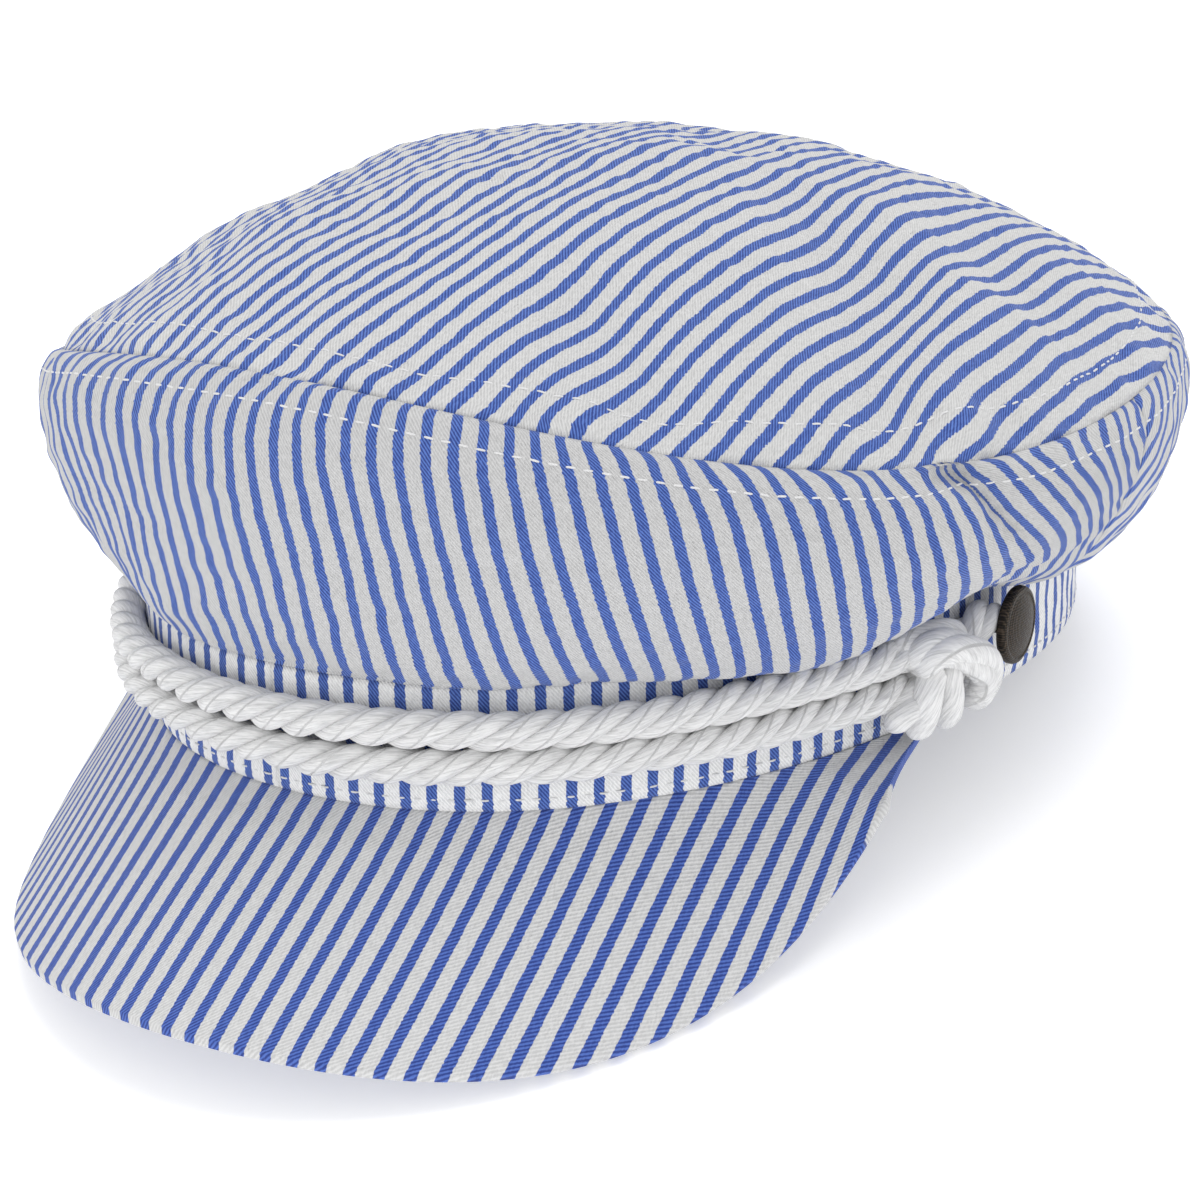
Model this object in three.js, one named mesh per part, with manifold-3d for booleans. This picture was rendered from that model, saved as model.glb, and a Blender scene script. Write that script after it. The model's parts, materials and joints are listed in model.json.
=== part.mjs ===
// Breton fisherman cap: faceted cloth shells, peak, twisted-cord trim and side buttons.
// Units mm, +Z up, front of the cap toward -Y, wearer's left toward +X.
// The cap is first laid out in its own frame (headband rim in the plane z = 0, centred on the rim),
// then tipped so that it stands by itself on the peak's lower edge and the rear of the rim.
import * as THREE from 'three';
import Module from 'manifold-3d';

const wasm = await Module();
wasm.setup();
const { Manifold } = wasm;

const rad = (d) => (d * Math.PI) / 180;

// ---------------------------------------------------------------- sizes
const CLOTH = 1.6;          // wall of the crown cloth with its interlining
const BAND_WALL = 2.0;      // headband
const BAND_H = 24.4;        // headband height
const PEAK_T = 3.0;         // peak thickness
const GAP = 0.3;            // clearance between neighbouring pieces
const SIDE_SEAM = 97;       // degrees from the front to each side seam
const ROPE_R = 3.35;        // cord radius
const ROPE_OFF = 3.75;      // cord centre line outside the headband
const ROPE_END = 76;        // degrees from the front where the cords enter the knots
const TIP_DEG = 10.08;      // forward lift of the rim plane when the cap stands by itself

// plan rings: half width, half length, shift, egg, corner; height terms in cos 0, 1, 2, 3
const RING = {
  rim:   { hw: 84.9,  hl: 104.4, ys: 0,   egg: 0.1226, cor: -0.0207, z0: 0,    z1: 0,   z2: 0,   z3: 0 },
  foot:  { hw: 85.4,  hl: 104.9, ys: 0,   egg: 0.1226, cor: -0.0207, z0: 24.7, z1: 0,   z2: 0,   z3: 0 },
  swell: { hw: 97.0,  hl: 107.5, ys: 1.4, egg: 0.1226, cor: -0.0207, z0: 23.4, z1: 0.2, z2: 3.4, z3: 0 },
  cheek: { hw: 120.0, hl: 122.2, ys: 1.4, egg: 0.017,  cor: -0.006,  z0: 52.4, z1: 8.6, z2: 5.6, z3: 3.5 },
  seam:  { hw: 107.6, hl: 112.6, ys: 6.6, egg: 0.017,  cor: -0.006,  z0: 62.9, z1: 7.6, z2: 5.0, z3: 3.5 },
};
const DOME = { apexY: 9.4, apexZ: 99.6, power: 2.37, powerFront: 0.41 };
// folds pressed into the side panel: from (theta, t) to (theta, t), depth, half width in degrees
const FOLD = [
  { a0: 67, t0: 1.0, a1: 83.5, t1: 0.5, depth: 4.0, width: 4.5 },
];
// where the belly of the side panel hangs lower (or is held up): degrees from the front, width in degrees, drop in mm
const SAG = [
  { at: -104, wide: 20, drop: 5.0 }, { at: -62, wide: 22, drop: 2.5 }, { at: 30, wide: 26, drop: 4.0 },
  { at: 62, wide: 16, drop: 9.5 }, { at: 82, wide: 8, drop: -4.5 }, { at: 106, wide: 16, drop: 9.2 }, { at: 135, wide: 20, drop: -3.0 },
];
// outline of the peak: half width, reach at the middle, height terms
const PEAK = { hw: 89.1, y0: 35.1, y1: 107.2, z0: 30.8, z1: -92.5, z2: 32.9 };
// how the rim and the outline pair up from the middle (w 0) to each end (w 1), in degrees; close = outline drawn in to the rim
const PEAK_PAIR = [
  { w: 0.0, rim: 0,  edge: 0,  close: 0 },
  { w: 0.9, rim: 68, edge: 87, close: 0 },
  { w: 1.0, rim: 84, edge: 89, close: 0.93 },
];
// soft ridges across the dome: plan segment, height, spread
const RIDGE = [
  { x0: 30, y0: 5.5, x1: 106, y1: 10, height: 2.6, spread: 13 },
];

// ---------------------------------------------------------------- shape functions
function ringPoint(r, th) {
  const c = Math.cos(th), k = 1 + r.cor * Math.cos(4 * th);
  const deg = ((((th * 180) / Math.PI + 180) % 360) + 360) % 360 - 180;
  const sag = r === RING.swell ? SAG.reduce((s, g) => s + g.drop * Math.exp(-(((deg - g.at) / g.wide) ** 2)), 0) : 0;
  return new THREE.Vector3(
    r.hw * Math.sin(th) * (1 - r.egg * c) * k,
    r.ys - r.hl * c * k,
    r.z0 + r.z1 * c + r.z2 * Math.cos(2 * th) + r.z3 * Math.cos(3 * th) - sag);
}
function foldDepth(th, t) {
  let d = 0;
  for (const f of FOLD) {
    const w = Math.min(1, Math.max(0, (f.t0 - t) / (f.t0 - f.t1)));
    const mid = f.a0 + (f.a1 - f.a0) * w;
    const along = Math.max(0, 1 - Math.abs(w - 0.35) / 0.65);
    const off = (th * 180) / Math.PI - mid;
    d += f.depth * along * Math.exp(-(off * off) / (f.width * f.width));
  }
  return d;
}
function sideRaw(th, t) {
  const u = 1 - t, p = new THREE.Vector3();
  p.addScaledVector(ringPoint(RING.foot, th), u * u * u);
  p.addScaledVector(ringPoint(RING.swell, th), 3 * u * u * t);
  p.addScaledVector(ringPoint(RING.cheek, th), 3 * u * t * t);
  p.addScaledVector(ringPoint(RING.seam, th), t * t * t);
  return p;
}
function sidePoint(th, t) {
  const p = sideRaw(th, t), d = foldDepth(th, t) * Math.sin(Math.PI * Math.min(t, 0.97));
  const r = Math.hypot(p.x, p.y);
  p.x -= (p.x / r) * d; p.y -= (p.y / r) * d;
  return p;
}
function topPoint(th, s) {
  const e = ringPoint(RING.seam, th), k = DOME.power + DOME.powerFront * Math.cos(th);
  const p = new THREE.Vector3(
    e.x * s,
    DOME.apexY + (e.y - DOME.apexY) * s,
    DOME.apexZ + (e.z - DOME.apexZ) * Math.pow(s, k));
  for (const r of RIDGE) {
    const dx = r.x1 - r.x0, dy = r.y1 - r.y0;
    const f = Math.min(1, Math.max(0, ((p.x - r.x0) * dx + (p.y - r.y0) * dy) / (dx * dx + dy * dy)));
    const d = Math.hypot(p.x - r.x0 - f * dx, p.y - r.y0 - f * dy, 2);
    p.z += r.height * Math.exp(-d / r.spread) * Math.min(1, (1 - s) / 0.12);
  }
  return p;
}
function peakPoint(w, v) {          // w -1..1 across, v 0 at the rim .. 1 at the outer edge
  const m = Math.min(1, Math.abs(w)), sg = w < 0 ? -1 : 1;
  const hi = m > PEAK_PAIR[1].w ? 2 : 1, lo = hi - 1, L = PEAK_PAIR[lo], H = PEAK_PAIR[hi];
  const f = (m - L.w) / (H.w - L.w), at = (key) => L[key] + (H[key] - L[key]) * f;
  const a = ringPoint(RING.rim, rad(sg * at('rim')));
  const s = rad(sg * at('edge'));
  const b = new THREE.Vector3(PEAK.hw * Math.sin(s), -(PEAK.y0 + PEAK.y1 * Math.cos(s)),
    PEAK.z0 + PEAK.z1 * Math.cos(s) + PEAK.z2 * Math.cos(2 * s));
  b.lerp(a, at('close') * f * f);
  a.z -= GAP; b.z -= GAP;
  return a.lerp(b, v);
}
function normalOf(f, a, b, ha, hb) {
  const du = f(a + ha, b).sub(f(a - ha, b)), dv = f(a, b + hb).sub(f(a, b - hb));
  return du.cross(dv).normalize();
}
// band frame: point at arc distance u behind angle th0, height v, distance w outside the headband
function bandFrame(th0, u, v, w) {
  let th = rad(th0);
  const n = 24, h = u / n;
  for (let i = 0; i < n; i++) {
    const p = ringPoint(RING.rim, th), q = ringPoint(RING.rim, th + 1e-4);
    th += (h * 1e-4) / q.distanceTo(p);
  }
  return bandOut(th, v, w);
}
function bandOut(th, z, w) {
  const p = ringPoint(RING.rim, th), q = ringPoint(RING.rim, th + 1e-4);
  const t = q.clone().sub(p).normalize();
  return new THREE.Vector3(p.x + t.y * w, p.y - t.x * w, z);
}

// ---------------------------------------------------------------- mesh makers
function meshFrom(name, verts, tris) {
  const g = new THREE.BufferGeometry();
  g.setAttribute('position', new THREE.Float32BufferAttribute(verts.flatMap((p) => [p.x, p.y, p.z]), 3));
  g.setIndex(tris);
  const m = new THREE.Mesh(g);
  m.name = name;
  return m;
}
// closed wall between an outer grid and an inner grid; wrap closes it round in the first index
function wall(name, outer, inner, wrap) {
  const n = outer.length, m = outer[0].length, verts = [...outer.flat(), ...inner.flat()], tris = [];
  const o = (i, j) => (i % n) * m + j, k = (i, j) => n * m + (i % n) * m + j;
  const quad = (a, b, c, d) => tris.push(a, b, c, a, c, d);
  const last = wrap ? n : n - 1;
  for (let i = 0; i < last; i++) {
    for (let j = 0; j < m - 1; j++) {
      quad(o(i, j), o(i + 1, j), o(i + 1, j + 1), o(i, j + 1));
      quad(k(i, j), k(i, j + 1), k(i + 1, j + 1), k(i + 1, j));
    }
    quad(o(i, 0), k(i, 0), k(i + 1, 0), o(i + 1, 0));
    quad(o(i, m - 1), o(i + 1, m - 1), k(i + 1, m - 1), k(i, m - 1));
  }
  if (!wrap) for (let j = 0; j < m - 1; j++) {
    quad(o(0, j), o(0, j + 1), k(0, j + 1), k(0, j));
    quad(o(n - 1, j), k(n - 1, j), k(n - 1, j + 1), o(n - 1, j + 1));
  }
  return meshFrom(name, verts, tris);
}
// solid dome panel: outer and inner fans around a middle point
function domeWall(name, outer, inner, topMid, lowMid) {
  const n = outer.length, m = outer[0].length;
  const verts = [...outer.flat(), ...inner.flat(), topMid, lowMid], tris = [];
  const o = (i, j) => (i % n) * m + j, k = (i, j) => n * m + (i % n) * m + j;
  const T = 2 * n * m, L = T + 1;
  const quad = (a, b, c, d) => tris.push(a, b, c, a, c, d);
  for (let i = 0; i < n; i++) {
    for (let j = 0; j < m - 1; j++) {
      quad(o(i, j), o(i + 1, j), o(i + 1, j + 1), o(i, j + 1));
      quad(k(i, j), k(i, j + 1), k(i + 1, j + 1), k(i + 1, j));
    }
    tris.push(o(i, m - 1), o(i + 1, m - 1), T);
    tris.push(k(i + 1, m - 1), k(i, m - 1), L);
    quad(o(i, 0), k(i, 0), k(i + 1, 0), o(i + 1, 0));
  }
  return meshFrom(name, verts, tris);
}
function tube(name, path, radius, sides) {
  const n = path.length, verts = [], tris = [];
  let up = null;
  for (let i = 0; i < n; i++) {
    const t = path[Math.min(i + 1, n - 1)].clone().sub(path[Math.max(i - 1, 0)]).normalize();
    if (!up) up = Math.abs(t.z) < 0.8 ? new THREE.Vector3(0, 0, 1) : new THREE.Vector3(1, 0, 0);
    const side = t.clone().cross(up).normalize();
    up = side.clone().cross(t).normalize();
    for (let k = 0; k < sides; k++) {
      const a = (2 * Math.PI * k) / sides;
      verts.push(path[i].clone().addScaledVector(side, radius * Math.cos(a)).addScaledVector(up, radius * Math.sin(a)));
    }
  }
  for (let i = 0; i < n - 1; i++) for (let k = 0; k < sides; k++) {
    const a = i * sides + k, b = i * sides + ((k + 1) % sides);
    tris.push(a, b + sides, b, a, a + sides, b + sides);
  }
  const c0 = verts.length; verts.push(path[0].clone()); verts.push(path[n - 1].clone());
  for (let k = 0; k < sides; k++) {
    const k1 = (k + 1) % sides;
    tris.push(c0, k, k1);
    tris.push(c0 + 1, (n - 1) * sides + k1, (n - 1) * sides + k);
  }
  return meshFrom(name, verts, tris);
}
const toManifold = (mesh) => {
  const g = mesh.geometry;
  return new Manifold(new wasm.Mesh({
    numProp: 3, vertProperties: Float32Array.from(g.attributes.position.array), triVerts: Uint32Array.from(g.index.array) }));
};
function fromManifold(name, solid) {
  const m = solid.getMesh(), verts = [];
  for (let i = 0; i < m.vertProperties.length; i += m.numProp) verts.push(new THREE.Vector3(m.vertProperties[i], m.vertProperties[i + 1], m.vertProperties[i + 2]));
  return meshFrom(name, verts, Array.from(m.triVerts));
}

// ---------------------------------------------------------------- cloth pieces
const N_ROUND = 96, N_SIDE = 8, N_TOP = 6;
// wall direction at the top seam: between the side's and the dome's normals, so both walls meet in a mitre
function seamOffset(th) {
  const a = normalOf(sidePoint, th, 0.97, 1e-3, 1e-3), b = normalOf((p, q) => topPoint(p, 1 - q), th, 0.03, 1e-3, 1e-3);
  const m = a.add(b).normalize();
  return m.multiplyScalar(CLOTH * 1.25);
}
function sidePanel(name, from, to) {
  const n = Math.round((N_ROUND * (to - from)) / 360), outer = [], inner = [];
  for (let i = 0; i <= n; i++) {
    const th = rad(from + ((to - from) * i) / n), o = [], k = [];
    for (let j = 0; j <= N_SIDE; j++) {
      const t = j / N_SIDE, p = sidePoint(th, t);
      const d = j === N_SIDE ? seamOffset(th) : normalOf(sidePoint, th, t, 1e-3, 1e-3).multiplyScalar(CLOTH);
      o.push(p); k.push(p.clone().sub(d));
    }
    outer.push(o); inner.push(k);
  }
  return wall(name, outer, inner, false);
}
function topPanel(name) {
  const outer = [], inner = [], lift = new THREE.Vector3(0, 0, GAP * 1.6);
  for (let i = 0; i < N_ROUND; i++) {
    const th = rad((360 * i) / N_ROUND), o = [], k = [];
    for (let j = 0; j < N_TOP; j++) {
      const s = 1 - Math.pow(j / N_TOP, 1.25), p = topPoint(th, s).add(lift);
      const d = j === 0 ? seamOffset(th) : normalOf((a, b) => topPoint(a, 1 - b), th, 1 - s, 1e-3, 1e-3).multiplyScalar(CLOTH);
      o.push(p); k.push(p.clone().sub(d));
    }
    outer.push(o); inner.push(k);
  }
  const mid = new THREE.Vector3(0, DOME.apexY, DOME.apexZ).add(lift);
  return domeWall(name, outer, inner, mid, mid.clone().setZ(mid.z - CLOTH));
}
function headband(name) {
  const outer = [], inner = [];
  for (let i = 0; i < 84; i++) {
    const th = rad((360 * i) / 84);
    outer.push([bandOut(th, 0, 0), bandOut(th, BAND_H, 0)]);
    inner.push([bandOut(th, 0, -BAND_WALL), bandOut(th, BAND_H, -BAND_WALL)]);
  }
  return wall(name, outer, inner, true);
}
function peak(name) {
  const outer = [], inner = [], n = 44, m = 5;
  for (let i = 0; i <= n; i++) {
    const w = -1 + (2 * i) / n, o = [], k = [];
    for (let j = 0; j <= m; j++) {
      const v = 1 - j / m, p = peakPoint(w, v);
      const d = normalOf((a, b) => peakPoint(a, 1 - b), Math.max(-0.999, Math.min(0.999, w)), 1 - v, 1e-3, 1e-3);
      o.push(p); k.push(p.clone().addScaledVector(d, -PEAK_T));
    }
    outer.push(o); inner.push(k);
  }
  return wall(name, outer, inner, false);
}

// ---------------------------------------------------------------- cords, knots, buttons
// grow makes the same shape larger by that much all over, for cutting its neighbours with a gap
function cord(name, z, grow = 0) {
  const path = [], n = 56, end = ROPE_END + (grow * 180) / Math.PI / 90;
  for (let i = 0; i <= n; i++) path.push(bandOut(rad(-end + (2 * end * i) / n), z, ROPE_OFF));
  return tube(name, path, ROPE_R + grow, 10);
}
const CORD_Z = { upper: 17.2, lower: 10.1 };
const KNOT_AT = 82.5, BUTTON = { u: 17.8, v: 15.4, w: 6.4, r: 7.5, thick: 2.2, dome: 1.0, post: 2.2, yaw: 9, off: 0.7 };
// runs of cord that make the knot: rows of u, v, w in the band frame, and the cord radius there
const KNOT = [
  { r: 3.9, row: [[-9.5, 14.6, 5.0], [-7.8, 17.6, 8.0], [-3.6, 17.8, 9.0], [2.0, 15.2, 9.4], [7.0, 10.6, 8.6], [7.4, 6.2, 7.2], [5.0, 3.4, 5.4]] },
  { r: 2.6, row: [[-13.5, 17.4, 4.0], [-8.7, 19.5, 4.4], [-1.2, 19.0, 4.5], [6.4, 16.4, 4.4]] },
  { r: 3.5, row: [[2.5, 12.2, 3.9], [5.5, 14.6, 3.9], [9.4, 16.6, 3.9], [13.2, 17.6, 3.9], [17.6, 17.4, 3.9]] },
  { r: 2.8, row: [[-4.5, 14.5, 6.5], [-7.7, 12.0, 8.4], [-8.8, 8.0, 8.4], [-8.4, 3.4, 6.4], [-7.0, 2.8, 4.0]] },
  { r: 2.7, row: [[-1.5, 14.5, 6.5], [-2.7, 12.1, 8.2], [-2.2, 8.0, 8.2], [-1.2, 3.6, 6.6], [0.8, 3.0, 4.0]] },
  { r: 2.4, row: [[-7.5, 7.8, 6.0], [-11.5, 7.4, 6.9], [-13.8, 6.0, 6.3], [-14.4, 3.8, 4.2]] },
  { r: 3.5, row: [[-9, 13.0, 4.0], [-1, 12.0, 4.6], [5, 9.0, 4.4]] },
];
function knot(name, side) {
  let solid = null;
  for (const run of KNOT) {
    const curve = new THREE.CatmullRomCurve3(run.row.map(([u, v, w]) => bandFrame(KNOT_AT, u, v, w)));
    const piece = toManifold(tube('run', curve.getSpacedPoints(4 * run.row.length), run.r, 10));
    solid = solid ? solid.add(piece) : piece;
  }
  if (side < 0) solid = solid.mirror([1, 0, 0]);
  return fromManifold(name, solid);
}
function button(name, side, grow = 0) {
  const { u, v, w, r, thick, dome, post, yaw, off } = BUTTON;
  // turned profile: post against the headband, flat back, domed face
  const g = grow, back = w - GAP - g;
  const profile = [[post + g, -g], [post + g, back], [r - 0.5 + g, back], [r + g, w + 0.4 - g * 0.5], [r + g, w + thick - 0.8], [r * 0.86 + g * 0.5, w + thick + g], [r * 0.5, w + thick + dome * 0.75 + g], [0, w + thick + dome + g]];
  const lathe = Manifold.revolve([[[0, -g], ...profile]], 36);
  // the pull of the cord turns the button a little about the vertical
  const at = bandFrame(KNOT_AT, u, v, off), out = bandFrame(KNOT_AT, u, v, 10).sub(at).normalize().applyAxisAngle(new THREE.Vector3(0, 0, 1), rad(yaw));
  const q = new THREE.Quaternion().setFromUnitVectors(new THREE.Vector3(0, 0, 1), out);
  const m = new THREE.Matrix4().compose(at, q, new THREE.Vector3(1, 1, 1));
  let solid = lathe.transform(m.toArray());
  if (side < 0) solid = solid.mirror([1, 0, 0]);
  return solid;
}

// ---------------------------------------------------------------- assembly
const half = (GAP * 0.5 * 180) / Math.PI / 100;
const meshes = [
  topPanel('crown_top'),
  sidePanel('crown_side_front', -SIDE_SEAM + half, SIDE_SEAM - half),
  sidePanel('crown_side_back', SIDE_SEAM + half, 360 - SIDE_SEAM - half),
  headband('headband'),
  peak('visor'),
  cord('cord_upper', CORD_Z.upper),
  cord('cord_lower', CORD_Z.lower),
];
for (const side of [1, -1]) {
  const tag = side > 0 ? 'left' : 'right';
  // the knot is cut clear of the button and of the cord ends by a small gap
  const b = button('button_' + tag, side);
  let k = toManifold(knot('knot_' + tag, side));
  k = k.subtract(button('cut', side, GAP + 0.03));
  for (const z of Object.values(CORD_Z)) k = k.subtract(toManifold(cord('cut', z, GAP + 0.03)));
  meshes.push(fromManifold('knot_' + tag, k));
  meshes.push(fromManifold('button_' + tag, b));
}
const part = new THREE.Group();
part.name = 'breton_cap';
const tip = new THREE.Matrix4().makeRotationX(-rad(TIP_DEG));
// the origin is the middle of the standing cap's outline, on the surface it stands on
const box = new THREE.Box3();
for (const m of meshes) {
  m.geometry.applyMatrix4(tip);
  m.geometry.computeBoundingBox();
  box.union(m.geometry.boundingBox);
}
for (const m of meshes) {
  m.geometry.translate(-(box.min.x + box.max.x) / 2, -(box.min.y + box.max.y) / 2, -box.min.z);
  m.geometry.computeVertexNormals();
  part.add(m);
}
export default part;
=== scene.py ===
"""Breton fisherman cap: striped seersucker shells, twisted cotton cords, knots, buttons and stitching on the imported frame."""
import bpy, json, math
import numpy as np
from mathutils import Matrix

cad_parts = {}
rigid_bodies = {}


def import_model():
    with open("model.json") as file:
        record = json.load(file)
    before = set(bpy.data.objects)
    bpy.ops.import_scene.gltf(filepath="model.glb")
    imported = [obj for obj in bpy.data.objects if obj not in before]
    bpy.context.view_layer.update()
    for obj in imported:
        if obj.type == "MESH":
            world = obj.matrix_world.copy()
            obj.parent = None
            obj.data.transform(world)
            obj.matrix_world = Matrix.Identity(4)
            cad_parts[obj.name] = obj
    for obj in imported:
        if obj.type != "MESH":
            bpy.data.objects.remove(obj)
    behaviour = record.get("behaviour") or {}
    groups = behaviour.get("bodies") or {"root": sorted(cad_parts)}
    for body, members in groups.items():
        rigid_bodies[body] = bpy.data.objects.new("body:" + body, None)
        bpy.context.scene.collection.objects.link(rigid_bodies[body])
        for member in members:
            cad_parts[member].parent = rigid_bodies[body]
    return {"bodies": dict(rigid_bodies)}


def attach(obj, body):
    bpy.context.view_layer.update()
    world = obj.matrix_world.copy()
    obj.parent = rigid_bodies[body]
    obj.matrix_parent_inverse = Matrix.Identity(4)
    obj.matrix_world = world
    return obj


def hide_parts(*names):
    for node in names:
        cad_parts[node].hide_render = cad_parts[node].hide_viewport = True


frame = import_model()
BODY = list(frame["bodies"])[0]
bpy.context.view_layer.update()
rng = np.random.default_rng(7)

# ------------------------------------------------------------------ sizes, in mm, in the cap's own frame
CLOTH, BAND_WALL, BAND_H, PEAK_T = 1.3, 1.8, 24.5, 2.9
SIDE_SEAM = 97.0
ROPE_R, ROPE_OFF, ROPE_END = 3.45, 3.75, 77.0
CORD_Z = {"upper": 17.2, "lower": 10.1}
TIP = math.radians(10.08)
SHIFT_Y, LIFT = 9.2386, 18.4489          # mm: the cap's shift along y and its lift in the row frame
RING = {
    "rim":   dict(hw=84.9, hl=104.4, ys=0.0, egg=0.1226, cor=-0.0207, z=(0.0, 0.0, 0.0, 0.0)),
    "foot":  dict(hw=85.4, hl=104.9, ys=0.0, egg=0.1226, cor=-0.0207, z=(24.6, 0.0, 0.0, 0.0)),
    "swell": dict(hw=97.0, hl=107.5, ys=1.4, egg=0.1226, cor=-0.0207, z=(23.4, 0.2, 3.4, 0.0)),
    "cheek": dict(hw=120.0, hl=122.2, ys=1.4, egg=0.017, cor=-0.006, z=(52.4, 8.6, 5.6, 3.5)),
    "seam":  dict(hw=107.6, hl=112.6, ys=6.6, egg=0.017, cor=-0.006, z=(62.9, 7.6, 5.0, 3.5)),
}
DOME = dict(apex_y=9.4, apex_z=99.6, power=2.37, power_front=0.41)
FOLD = [dict(a0=67.0, t0=1.0, a1=83.5, t1=0.5, depth=4.4, before=4.2, after=3.0, lip=0.5)]
# where the side panel's belly hangs lower (or is held up): degrees from the front, width in degrees, drop in mm
SAG = [
    dict(at=-104.0, wide=20.0, drop=5.0), dict(at=-62.0, wide=22.0, drop=2.5), dict(at=30.0, wide=26.0, drop=4.0),
    dict(at=62.0, wide=16.0, drop=9.5), dict(at=82.0, wide=8.0, drop=-4.5), dict(at=106.0, wide=16.0, drop=9.2), dict(at=135.0, wide=20.0, drop=-3.0),
]
RIDGE = [dict(x0=30.0, y0=5.5, x1=106.0, y1=10.0, height=2.6, spread=13.0)]
# soft waves in the top, from the cloth's slack: ends of each wave's line in plan, height and half-width
WAVE = [
    dict(x0=-18.6, y0=-93.4, x1=-29.8, y1=-56.0, height=1.1, wide=11.2),
    dict(x0=-47.1, y0=6.2, x1=73.3, y1=-47.5, height=1.0, wide=14.6),
    dict(x0=89.3, y0=43.1, x1=80.3, y1=65.9, height=1.2, wide=16.0),
    dict(x0=70.7, y0=-8.2, x1=78.7, y1=14.6, height=-2.8, wide=14.7),
    dict(x0=5.9, y0=-73.9, x1=-0.3, y1=-54.3, height=-1.0, wide=11.8),
    dict(x0=66.6, y0=-2.3, x1=45.1, y1=47.6, height=1.1, wide=7.4),
    dict(x0=72.8, y0=-77.2, x1=43.2, y1=-64.5, height=-1.8, wide=8.6),
    dict(x0=-1.0, y0=32.2, x1=89.8, y1=-40.2, height=-1.6, wide=8.7),
    dict(x0=80.9, y0=0.6, x1=90.6, y1=-27.1, height=3.0, wide=7.8),
]
PEAK = dict(hw=89.1, y0=35.1, y1=107.2, z0=30.8, z1=-92.5, z2=32.9)
PEAK_PAIR = np.array([[0.0, 0, 0, 0], [0.9, 68, 87, 0], [1.0, 84, 89, 0.93]])


# ------------------------------------------------------------------ shape functions (all take numpy arrays, give (..., 3))
def ring(name, th):
    r = RING[name]
    c, k = np.cos(th), 1 + r["cor"] * np.cos(4 * th)
    z = sum(a * np.cos(i * th) for i, a in enumerate(r["z"]))
    if name == "swell":
        d = (np.degrees(th) + 180) % 360 - 180
        z = z - sum(g["drop"] * np.exp(-((d - g["at"]) / g["wide"]) ** 2) for g in SAG)
    return np.stack([r["hw"] * np.sin(th) * (1 - r["egg"] * c) * k, r["ys"] - r["hl"] * c * k, z + 0 * th], -1)


def fold_depth(th, t):
    """How far the pinched fold sinks in (and its lip stands out), in mm."""
    d = 0 * (th + t)
    for f in FOLD:
        w = np.clip((f["t0"] - t) / (f["t0"] - f["t1"]), 0, 1)
        mid = f["a0"] + (f["a1"] - f["a0"]) * w
        along = np.clip((1 - w) / 0.55, 0, 1) * np.clip(0.5 + w / 0.3, 0, 1)
        off = (np.degrees(th) + 180) % 360 - 180 - mid
        cut = np.exp(-np.abs(off / np.where(off < 0, f["before"], f["after"])) ** 1.35)
        d = d + along * (f["depth"] * cut - f["lip"] * np.exp(-((off - 6.5) / 3) ** 2))
    return d


def side(th, t):
    u, t3 = (1 - t)[..., None], t[..., None]
    p = u**3 * ring("foot", th) + 3 * u * u * t3 * ring("swell", th) + 3 * u * t3 * t3 * ring("cheek", th) + t3**3 * ring("seam", th)
    d = fold_depth(th, t) * np.clip((1 - t) / 0.05, 0, 1)
    r = np.hypot(p[..., 0], p[..., 1])
    p[..., 0] -= p[..., 0] / r * d
    p[..., 1] -= p[..., 1] / r * d
    return p


def top(th, s):
    e, k = ring("seam", th), DOME["power"] + DOME["power_front"] * np.cos(th)
    p = np.stack([e[..., 0] * s, DOME["apex_y"] + (e[..., 1] - DOME["apex_y"]) * s,
                  DOME["apex_z"] + (e[..., 2] - DOME["apex_z"]) * s**k], -1)
    for r in RIDGE:
        dx, dy = r["x1"] - r["x0"], r["y1"] - r["y0"]
        f = np.clip(((p[..., 0] - r["x0"]) * dx + (p[..., 1] - r["y0"]) * dy) / (dx * dx + dy * dy), 0, 1)
        d = np.sqrt((p[..., 0] - r["x0"] - f * dx) ** 2 + (p[..., 1] - r["y0"] - f * dy) ** 2 + 4)
        p[..., 2] += r["height"] * np.exp(-d / r["spread"]) * np.minimum(1, (1 - s) / 0.12)
    for r in WAVE:
        dx, dy = r["x1"] - r["x0"], r["y1"] - r["y0"]
        f = np.clip(((p[..., 0] - r["x0"]) * dx + (p[..., 1] - r["y0"]) * dy) / (dx * dx + dy * dy), 0, 1)
        d2 = (p[..., 0] - r["x0"] - f * dx) ** 2 + (p[..., 1] - r["y0"] - f * dy) ** 2
        p[..., 2] += r["height"] * np.exp(-d2 / r["wide"] ** 2) * np.minimum(1, (1 - s) / 0.06)
    return p


def peak(w, v):
    m, sg = np.minimum(1, np.abs(w)), np.sign(w)
    at = [np.interp(m, PEAK_PAIR[:, 0], PEAK_PAIR[:, i]) for i in (1, 2)]
    close = np.clip((m - 0.9) / 0.1, 0, 1) ** 3 * PEAK_PAIR[2, 3]
    a, q = ring("rim", np.radians(sg * at[0])), np.radians(sg * at[1])
    b = np.stack([PEAK["hw"] * np.sin(q), -(PEAK["y0"] + PEAK["y1"] * np.cos(q)),
                  PEAK["z0"] + PEAK["z1"] * np.cos(q) + PEAK["z2"] * np.cos(2 * q)], -1)
    b = b + (a - b) * close[..., None]
    p = a + (b - a) * v[..., None]
    p[..., 2] -= 0.25 * np.clip(v / 0.1, 0, 1) - 0.15
    return p


_T = np.radians(np.arange(-360, 721, 0.25))
_P = ring("rim", _T)
_S = np.concatenate([[0], np.cumsum(np.linalg.norm(np.diff(_P, axis=0), axis=1))])
_S -= np.interp(0, _T, _S)
ROUND = np.interp(2 * np.pi, _T, _S)


def arc(th):
    """Distance round the rim from the front, in mm."""
    return np.interp(th, _T, _S)


def arc_inv(s):
    return np.interp(s, _S, _T)


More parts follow.
